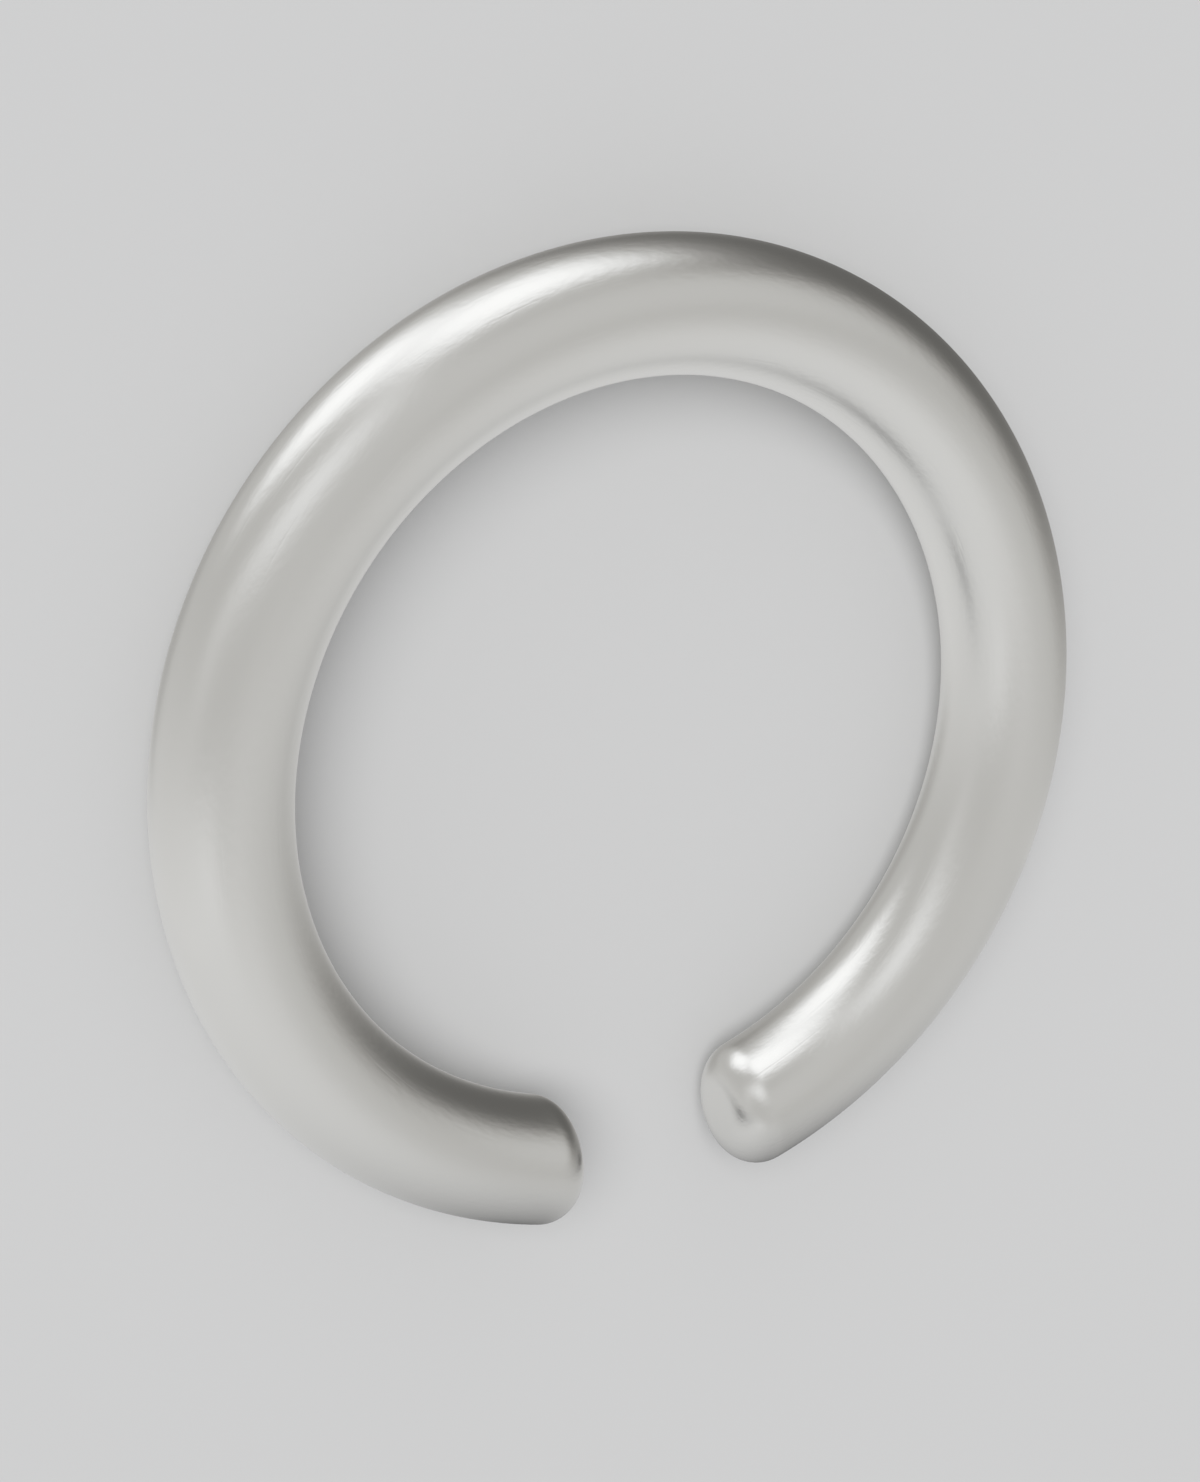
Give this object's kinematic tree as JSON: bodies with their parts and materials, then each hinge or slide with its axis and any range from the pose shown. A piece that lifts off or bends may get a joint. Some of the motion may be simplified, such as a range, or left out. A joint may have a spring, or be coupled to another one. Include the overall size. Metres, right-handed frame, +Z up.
{
  "type": "open cuff ring",
  "caption": "Plain finger ring bent from round satin silver bar, open at the front with a straight gap between softly rounded ends.",
  "frame": {"origin": "on the ring's own axis, at the level of the surface that the ring lies on, which is the bottom centre of its box but for 0.2 mm along Y that the gap takes off", "axes": "+Z up along the ring's axis, through the hole for the finger; -Y from the axis through the middle of the gap; +X across the gap, square to its end faces"},
  "size_m": [0.023, 0.0226, 0.003],
  "materials": {
    "satin_metal": "satin white metal, sterling silver, softly polished, without a directional grain"
  },
  "bodies": {
    "root": {"cuff_band": "satin_metal"}
  },
  "joints": []
}
